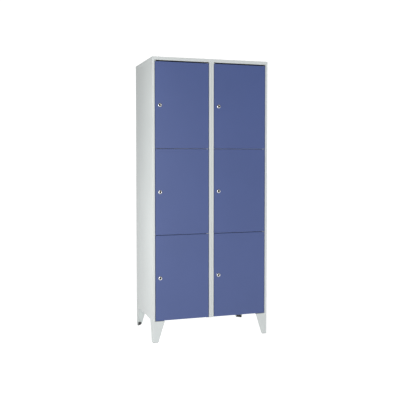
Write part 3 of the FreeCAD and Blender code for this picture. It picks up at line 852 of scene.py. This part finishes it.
# %% Foot screws and nuts
SCREW_HEAD_RADIUS = 6 * MM
SCREW_HEAD = 3.5 * MM
SCREW_RADIUS = 3 * MM
SCREW_REACH = 10 * MM
SIDE_INSET, SIDE_SETBACK = 11 * MM, 62 * MM
LIP_INSET, LIP_SETBACK = 52 * MM, 10 * MM
side_x = cad_high.x - SHEET - SIDE_INSET
lip_x = cad_high.x - SHEET - LIP_INSET
screw_spots = [(side_x, face_y + SIDE_SETBACK), (side_x, wall_high.y + SHEET - SIDE_SETBACK),
               (lip_x, base_low.y + SHEET + LIP_SETBACK),
               (lip_x, base_high.y - SHEET - LIP_SETBACK)]
plate_z = foot_high.z - FOOT_SHEET
screw_places = [(side * x, y, plate_z) for x, y in screw_spots for side in (-1, 1)]
screw = turned_mesh([(2 * MM, 2 * MM - SCREW_HEAD, 6), (2 * MM, -SCREW_HEAD, 6),
                     (2.6 * MM, -SCREW_HEAD, 0), (4.9 * MM, -SCREW_HEAD, 0),
                     (5.7 * MM, 0.35 * MM - SCREW_HEAD, 0), (SCREW_HEAD_RADIUS, MM - SCREW_HEAD, 0),
                     (SCREW_HEAD_RADIUS, 0, 0), (SCREW_RADIUS, 0, 0),
                     (SCREW_RADIUS, SCREW_REACH - 0.6 * MM, 0),
                     (SCREW_RADIUS - 0.6 * MM, SCREW_REACH, 0)], zinc_plate)
install_fixed("foot_plate_screws", scatter(screw, screw_places, zinc_plate), "zinc_steel",
              "foot_screws")
nut = turned_mesh(nut_profile(10 * MM, SCREW_RADIUS + 0.02 * MM, FOOT_SHEET + SHEET, 5 * MM,
                              0.5 * MM), zinc_plate, hollow=True)
install_fixed("foot_plate_nuts", scatter(nut, screw_places, zinc_plate), "zinc_steel",
              "foot_nuts")
print("foot screws:", len(screw_places))

# %% [markdown]
# ## Hinges
# A steel tongue comes through a slot in the stile, above and below each door, and carries a
# riveted pin. A middle pin reaches into both doors. Nylon washers keep the paint apart. The
# tongue is punched from plate, so it is a rounded outline with thickness and broken edges.

# %% Hinge plates
FULL_ROUND = 0.99  # of the half width: two such corners make almost a half circle
root_reach = plate_high.x - joint_place["right_bottom_hinge"].x
nose = HINGE_NOSE - 0.01 * MM
tongue = rounded_outline([(-nose, -nose), (root_reach, -nose), (root_reach, nose), (-nose, nose)],
                         [nose * FULL_ROUND, 0.5 * MM, 0.5 * MM, nose * FULL_ROUND])
PIN_RADIUS = 2.5 * MM
PLATE_EDGE = 0.25 * MM
bm = bmesh.new()
turned(bm, [(PIN_RADIUS, -MM, 0), (PIN_RADIUS, 3 * MM, 0)], (0, 0, 0), "Z")
plate = finish_mesh(prism(tongue, (0.0, HINGE_PLATE), lambda u, v, z: (u, v, z)), zinc_plate,
                    punches=mesh_of(bm, True), edge=PLATE_EDGE)
hinge_lines = [joint_place[column + "_bottom_hinge"] for column in COLUMNS]
levels = list(enumerate(plate_levels))
plate_places = [(line.x, line.y, z) for line in hinge_lines for _, z in levels]
install_fixed("hinge_tongues", scatter(plate, plate_places, zinc_plate), "zinc_steel",
              "hinge_plates")

# %% Hinge pins and washers
PIN_INTO_DOOR = 9.75 * MM
PIN_STUB = MM
CHAMFER = 0.6 * MM
WASHER = 0.5 * MM


def pin(below, above):
    """A pin through a tongue whose underside is at height zero."""
    top = HINGE_PLATE + above
    return turned_mesh([(PIN_RADIUS - CHAMFER, -below, 0), (PIN_RADIUS, CHAMFER - below, 0),
                        (PIN_RADIUS, top - CHAMFER, 0), (PIN_RADIUS - CHAMFER, top, 0)],
                       zinc_plate, edge=0.08 * MM)


last = len(ROWS)
pins = [scatter(pin(PIN_INTO_DOOR if index else 0.0,
                    PIN_INTO_DOOR if index < last else PIN_STUB),
                [(line.x, line.y, z) for line in hinge_lines], zinc_plate)
        for index, z in levels]
install_fixed("hinge_pin_set", joined(pins), "zinc_steel", "hinge_pins")
washer = turned_mesh([(PIN_RADIUS, 0, 0), (5.5 * MM, 0, 0), (5.5 * MM, WASHER, 0),
                      (PIN_RADIUS, WASHER, 0)], cream_nylon, hollow=True, edge=0.12 * MM)
washer_places = [(line.x, line.y, z + rise) for line in hinge_lines for index, z in levels
                 for rise, wanted in ((HINGE_PLATE, index < last), (-WASHER, index > 0)) if wanted]
install_fixed("hinge_washer_set", scatter(washer, washer_places, cream_nylon), "nylon",
              "hinge_washers")
print("hinge plates:", len(plate_places), "washers:", len(washer_places))

# %% [markdown]
# ## Buffers
# A small rubber button above and below each lock softens the slam of the door. It is pushed
# through the strike strip: a low dome in front, a stem in the hole, a head behind.

# %% Door buffers
BUFFER_SPREAD = 180 * MM
DOOR_LIP = 12 * MM
button = turned_mesh([(1.6 * MM, -0.7 * MM, 0), (3.6 * MM, -0.62 * MM, 0),
                      (4.35 * MM, -0.35 * MM, 0), (4.5 * MM, 0, 0), (2.0 * MM, 0, 0),
                      (2.0 * MM, SHEET, 0), (3.2 * MM, SHEET, 0), (2.9 * MM, 1.7 * MM, 0),
                      (1.8 * MM, 2.0 * MM, 0)], black_rubber, axis="Y", edge=0.05 * MM)
button_places = []
for name in door_names:
    edge_x = door_low.x + door_shift[name].x + DOOR_LIP / 2
    middle_z = joint_place[name + "_key_turn"].z
    button_places += [(edge_x, face_y + STRIKE_DEPTH, middle_z + side * BUFFER_SPREAD)
                      for side in (-1, 1)]
install_fixed("door_buffer_set", scatter(button, button_places, black_rubber),
              "buffer_rubber", "door_buffers")
print("buffers:", len(button_places))

# %% [markdown]
# ## Back panel and spot welds
# The back is one flat sheet, spot welded to the folds of the walls. A spot weld leaves a
# shallow round mark with a raised ring where the electrodes pressed. The marks are small, but
# they are what tells a welded carcass from a moulded box, so each is a real shape.

# %% Back panel with its welds
WELD_PITCH = 110 * MM
WELD_SIDES = 14
weld_profile = [(0.4 * MM, 0.03 * MM), (1.9 * MM, 0.04 * MM), (2.4 * MM, 0.14 * MM),
                (2.9 * MM, 0.14 * MM), (3.3 * MM, -0.05 * MM)]


def weld_mark():
    """The print of a spot weld on a face that looks along Y."""
    turns = [2 * math.pi * step / WELD_SIDES for step in range(WELD_SIDES)]
    bm = bmesh.new()
    loft(bm, [[(r * math.cos(a), h, r * math.sin(a)) for a in turns] for r, h in weld_profile])
    mesh = mesh_of(bm, True)
    mesh.shade_smooth()
    return mesh


def back_panel():
    """A flat sheet with rows of welds down its sides and down the two middle walls."""
    low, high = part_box("back_panel")
    outline = rectangle_ring((low.x, low.z), (high.x, high.z), 0, 2 * MM)
    sheet = finish_mesh(prism(outline, (low.y, high.y), lambda u, v, y: (u, y, v)), carcass_coat)
    margin, from_middle, reach = 6 * MM, 7 * MM, 45 * MM
    corners = []
    for x in (low.x + margin, -from_middle, from_middle, high.x - margin):
        corners += [(x, high.y, low.z + reach), (x, high.y, high.z - reach)]
    rows = [(at, at + 1) for at in range(0, len(corners), 2)]
    welds = scatter(weld_mark(), corners, carcass_coat, weld_tree, rows, WELD_PITCH)
    print("back welds:", len(welds.vertices) // (WELD_SIDES * len(weld_profile)))
    return joined([sheet, welds])


install_fixed("back_sheet", back_panel(), "carcass_paint", "back_panel")

# %% [markdown]
# ## Door
# A door is a pan: a flat face, a soft fold all round, flanges 20 mm deep, and lips down its
# two long sides. The rings stop where the lips begin to fold. Small relief notches stay at
# the corners, as on the real blank. The six doors are alike, so one is built and copied.

# %% Door pan
DOOR_FOLD = 1.6 * MM
DOOR_CORNER = 2.2 * MM
RELIEF = 3 * MM
PIN_PLAY = 0.06 * MM
LOCK_BODY_RADIUS = 9.5 * MM
LOCK_BODY_FLATS = 16.4 * MM
LOCK_HOLE_PLAY = 0.15 * MM
RIGHTWARDS, LEFTWARDS = Vector((1, 0, 0)), Vector((-1, 0, 0))


def cut_flats(verts, keep):
    """Press points in to the lock's two flats, which lie this far from its axis."""
    for vert in verts:
        vert.co.x = min(max(vert.co.x, lock_place.x - keep), lock_place.x + keep)


def lock_hole_into(bm, front, rear, play):
    """A round punch with two flats, which stop the lock turning in the sheet."""
    rows = turned(bm, [(LOCK_BODY_RADIUS + play, front, 0), (LOCK_BODY_RADIUS + play, rear, 0)],
                  lock_place, "Y")
    cut_flats([vert for row in rows for vert in row], LOCK_BODY_FLATS / 2 + play)


def door_pan():
    """The first door, with its lock hole and pin holes."""
    low, high = (door_low.x, door_low.z), (door_high.x, door_high.z)
    depth = door_high.y - door_low.y
    stations = [low[1] + RELIEF, high[1] - RELIEF]
    profile = fold_profile(DOOR_FOLD) + [(0.0, depth - DOOR_FOLD)]
    rings = [[(u, face_y + deep, v) for u, v in
              rectangle_ring(low, high, inset, DOOR_CORNER, {"left": stations, "right": stations})]
             for inset, deep in profile]
    bm = bmesh.new()
    edge = loft(bm, rings, (True, False))[-1]
    marks = [at for at, vert in enumerate(edge)
             if min(abs(vert.co.z - z) for z in stations) < 0.01 * MM]
    lip = DOOR_LIP - DOOR_FOLD
    for start, end, inwards in ((marks[0], marks[1], LEFTWARDS), (marks[2], marks[3], RIGHTWARDS)):
        fold_on(bm, edge[start:end + 1], bend_offsets(DOOR_FOLD, BACKWARDS, inwards, lip))
    fold_on(bm, edge[marks[1]:marks[2] + 1], [BACKWARDS * DOOR_FOLD])
    fold_on(bm, edge[marks[3]:] + edge[:marks[0] + 1], [BACKWARDS * DOOR_FOLD])
    mesh = face_towards(mesh_of(bm, False), -BACKWARDS)
    bm = bmesh.new()
    lock_hole_into(bm, -MM, 3 * MM, LOCK_HOLE_PLAY)
    for z in (low[1], high[1]):
        turned(bm, [(PIN_RADIUS + PIN_PLAY, -3 * MM, 0), (PIN_RADIUS + PIN_PLAY, 3 * MM, 0)],
               (pivot_place.x, pivot_place.y, z), "Z")
    return finish_mesh(mesh, door_coat, DOOR_SHEET, mesh_of(bm, True))


first_door = door_pan()
install_on_doors(("_door_pan", first_door, "_door", "door_paint", "_door_panel"))
print("door pan:", len(first_door.polygons), "faces")

# %% [markdown]
# ## Door stiffener
# A top-hat section is spot welded down the middle of each door, so that the thin face does
# not drum or bow. It is the same folded strip as the uprights, with a row of welds on each
# of its two flanges.

# %% Door stiffener
STIFFENER_HALF = 32 * MM
CROWN_HALF = 15 * MM
SLOPE = 6 * MM
STIFFENER_DEPTH = 13 * MM
WELD_END = 18 * MM
DOOR_WELD_PITCH = 80 * MM


def stiffener():
    """The top-hat strip of the first door, with its welds."""
    low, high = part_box("left_bottom_door_stiffener")
    middle = (low.x + high.x) / 2
    top = STIFFENER_DEPTH
    foot_out = CROWN_HALF + SLOPE
    path = [(-STIFFENER_HALF, 0), (-foot_out, 0), (-CROWN_HALF, top), (CROWN_HALF, top),
            (foot_out, 0), (STIFFENER_HALF, 0)]
    strip = folded_strip(path, lambda u, v: (middle + u, low.y + v, low.z),
                         (0, 0, high.z - low.z), SHEET, -BACKWARDS, door_coat)
    weld_x = (STIFFENER_HALF + foot_out) / 2
    ends = [(middle + side * weld_x, low.y + SHEET, z) for side in (-1, 1)
            for z in (low.z + WELD_END, high.z - WELD_END)]
    welds = scatter(weld_mark(), ends, door_coat, weld_tree, [(0, 1), (2, 3)], DOOR_WELD_PITCH)
    return joined([strip, welds])


first_stiffener = stiffener()
install_on_doors(("_stiffener_strip", first_stiffener, "_door", "door_paint",
                  "_door_stiffener"))
print("stiffener:", len(first_stiffener.polygons), "faces")

# %% [markdown]
# ## Cam lock
# The lock is a threaded zinc housing with a polished rim, held by a large nut behind the
# sheet. Its black core turns in it, with a keyway in front and the cam, a steel tongue, behind.
# Unlocked, the cam hangs down; a quarter turn swings it behind the strike strip. All parts are
# turned shapes about one axis, with the flats, the slot and the square hole cut after.

# %% Lock housing and nut
RIM_RADIUS = 12.5 * MM
RIM_PROUD = 2.2 * MM
BODY_REAR = 20.5 * MM
BODY_CHAMFER = 0.7 * MM
PLUG_RADIUS = 6.5 * MM
PLUG_PLAY = 0.05 * MM


def lock_housing():
    """Rim, double-D body and bore of the first lock."""
    bore = PLUG_RADIUS + PLUG_PLAY
    rim = [(bore, -0.4 * MM), (bore + 0.25 * MM, -1.7 * MM), (7.4 * MM, 0.12 * MM - RIM_PROUD),
           (8.2 * MM, -RIM_PROUD), (9.2 * MM, 0.05 * MM - RIM_PROUD),
           (10.3 * MM, 0.3 * MM - RIM_PROUD), (11.3 * MM, 0.75 * MM - RIM_PROUD),
           (12.1 * MM, 1.45 * MM - RIM_PROUD), (RIM_RADIUS, 0.0)]
    body = [(LOCK_BODY_RADIUS, 0.0), (LOCK_BODY_RADIUS, BODY_REAR - BODY_CHAMFER),
            (LOCK_BODY_RADIUS - BODY_CHAMFER, BODY_REAR), (bore, BODY_REAR)]
    bm = bmesh.new()
    rows = turned(bm, [(radius, along, 0) for radius, along in rim + body], lock_place, "Y", True)
    cut_flats([vert for row in rows for vert in row
               if vert.co.y > lock_place.y + 0.01 * MM or row is rows[len(rim)]],
              LOCK_BODY_FLATS / 2)
    return finish_mesh(mesh_of(bm, True), lock_nickel, edge=0.1 * MM)


def lock_nut():
    """The flat hexagon nut behind the sheet."""
    bm = bmesh.new()
    profile = nut_profile(24 * MM, LOCK_BODY_RADIUS, DOOR_SHEET, 4 * MM, 0.6 * MM)
    turned(bm, profile, lock_place, "Y", True)
    return finish_mesh(mesh_of(bm, True), zinc_plate)


first_housing, first_nut = lock_housing(), lock_nut()
print("lock housing:", len(first_housing.polygons), "faces; nut:", len(first_nut.polygons))

# %% Lock core and cam
PLUG_RECESS = 1.8 * MM
PLUG_REAR = 22.6 * MM
KEYWAY = Vector((1.8, 12.0, 8.6)) * MM
CAM_THICKNESS = 2 * MM
CAM_AIR = 0.1 * MM
CAM_SQUARE = 8 * MM
CAM_HALF = 8 * MM
CAM_REACH = 29 * MM


def lock_core():
    """The core with its keyway, the square for the cam and the peened end."""
    front = PLUG_RECESS - RIM_PROUD
    square_end = PLUG_REAR + CAM_THICKNESS + 2 * CAM_AIR
    side = CAM_SQUARE / 2
    profile = [(PLUG_RADIUS - 0.5 * MM, front, 0), (PLUG_RADIUS, front + 0.4 * MM, 0),
               (PLUG_RADIUS, PLUG_REAR, 0), (side, PLUG_REAR, 4), (side, square_end, 4),
               (5.4 * MM, square_end, 0), (4.9 * MM, square_end + 0.9 * MM, 0),
               (3.6 * MM, square_end + 1.2 * MM, 0)]
    bm = bmesh.new()
    start = lock_place + Vector((-KEYWAY.x / 2, front - MM, -KEYWAY.z / 2))
    block_into(bm, start, start + KEYWAY + Vector((0, MM, 0)))
    return turned_mesh(profile, black_core, lock_place, "Y", punches=mesh_of(bm, True),
                       edge=0.1 * MM)


def lock_cam():
    """The tongue: round over the core, straight down, with rounded tips and a square hole."""
    front = lock_place.y + PLUG_REAR + CAM_AIR
    rear = front + CAM_THICKNESS
    outline = rounded_outline([(-CAM_HALF, CAM_HALF), (-CAM_HALF, -CAM_REACH),
                               (CAM_HALF, -CAM_REACH), (CAM_HALF, CAM_HALF)],
                              [CAM_HALF * FULL_ROUND, 4 * MM, 4 * MM, CAM_HALF * FULL_ROUND])
    shape = prism(outline, (front, rear),
                  lambda u, v, y: (lock_place.x + u, y, lock_place.z + v))
    hole = CAM_SQUARE / 2 + PLUG_PLAY
    bm = bmesh.new()
    block_into(bm, (lock_place.x - hole, front - MM, lock_place.z - hole),
               (lock_place.x + hole, rear + MM, lock_place.z + hole))
    return finish_mesh(shape, zinc_plate, punches=mesh_of(bm, True), edge=PLATE_EDGE)


first_core, first_cam = lock_core(), lock_cam()
install_on_doors(
    ("_lock_housing_made", first_housing, "_door", "lock_nickel", "_lock_housing"),
    ("_lock_nut_made", first_nut, "_door", "zinc_steel", "_lock_nut"),
    ("_lock_plug_made", first_core, "_lock", "lock_core", "_lock_plug"),
    ("_lock_cam_made", first_cam, "_lock", "zinc_steel", "_lock_cam"))
print("core:", len(first_core.polygons), "faces; cam:", len(first_cam.polygons))

# %% [markdown]
# ## Studio
# The locker stands on a white light table, as in a catalogue studio: acrylic lit from below,
# which leaves almost no shadow. One softbox in front, a little to the left, lights the doors.
# A tall strip close to the left front corner makes the left side fall off towards the back;
# it is kept out of reflections. A lamp overhead lights the flat top. The room is white to
# the eye, but gives only a little light of its own. Sizes are in metres, powers in watts.

# %% Floor
FLOOR_HALF = 40.0
TABLE_GLOW = 0.95
bm = bmesh.new()
bmesh.ops.create_grid(bm, x_segments=1, y_segments=1, size=FLOOR_HALF)
floor_mesh = bpy.data.meshes.new("studio floor")
bm.to_mesh(floor_mesh)
bm.free()
floor = bpy.data.objects.new("studio_floor", floor_mesh)
bpy.context.scene.collection.objects.link(floor)
acrylic = new_finish("opal acrylic light table")[0]
for name, value in (("Base Color", linear("A0A0A0")), ("Roughness", 0.9),
                    ("Specular IOR Level", 0.1), ("Emission Color", linear("FFFFFF")),
                    ("Emission Strength", TABLE_GLOW)):
    acrylic.node_tree.nodes["Principled BSDF"].inputs[name].default_value = value
floor_mesh.materials.append(acrylic)
print("floor, m:", 2 * FLOOR_HALF)

# %% Room and lights
ROOM_LIGHT = 0.2


def area_light(name, place, target, width, height, power):
    """A soft light that looks at a target and is not seen itself."""
    lamp = bpy.data.lights.new(name, "AREA")
    lamp.shape = "RECTANGLE"
    lamp.size, lamp.size_y, lamp.energy = width, height, power
    light = bpy.data.objects.new(name, lamp)
    light.location = place
    aim = Vector(target) - Vector(place)
    light.rotation_euler = aim.to_track_quat("-Z", "Y").to_euler()
    light.visible_camera = False
    bpy.context.scene.collection.objects.link(light)
    return light


room = bpy.data.worlds.new("white studio")
bpy.context.scene.world = room
room.use_nodes = True
seen = add_node(room.node_tree, "ShaderNodeLightPath").outputs["Is Camera Ray"]
strength = add_node(room.node_tree, "ShaderNodeMapRange", inputs={
    "Value": seen, "To Min": ROOM_LIGHT, "To Max": 1.1})
backdrop = room.node_tree.nodes["Background"]
backdrop.inputs["Color"].default_value = (1, 1, 1, 1)
room.node_tree.links.new(strength.outputs[0], backdrop.inputs["Strength"])
area_light("front softbox", (-1.0, -4.9, 1.2), (0, 0, 0.95), 1.7, 1.7, 76)
side_strip = area_light("left strip light", (-0.92, -0.36, 1.0), (-0.4, -0.3, 1.0),
                        0.25, 1.8, 3.4)
side_strip.visible_glossy = False
area_light("overhead light", (0, 0.3, 3.4), (0, 0.29, 0), 1.1, 0.9, 20)
bpy.context.scene.view_settings.view_transform = "Standard"
print("room light:", ROOM_LIGHT, "table glow:", TABLE_GLOW)

# %% [markdown]
# ## Camera
# The camera stands a little left of the locker, about four and a half metres off, at chest
# height, and looks slightly down. A small shift keeps the locker in the middle of the frame.

# %% Camera
lens = bpy.data.cameras.new("camera")
lens.sensor_width = 36.0
lens.lens = 58.401
lens.shift_y = -0.0375
camera = bpy.data.objects.new("camera", lens)
camera.location = (-1.3773, -4.3085, 1.2024)
camera.rotation_euler = (math.pi / 2 - 0.0418, 0, -0.3094)
bpy.context.scene.collection.objects.link(camera)
bpy.context.scene.camera = camera
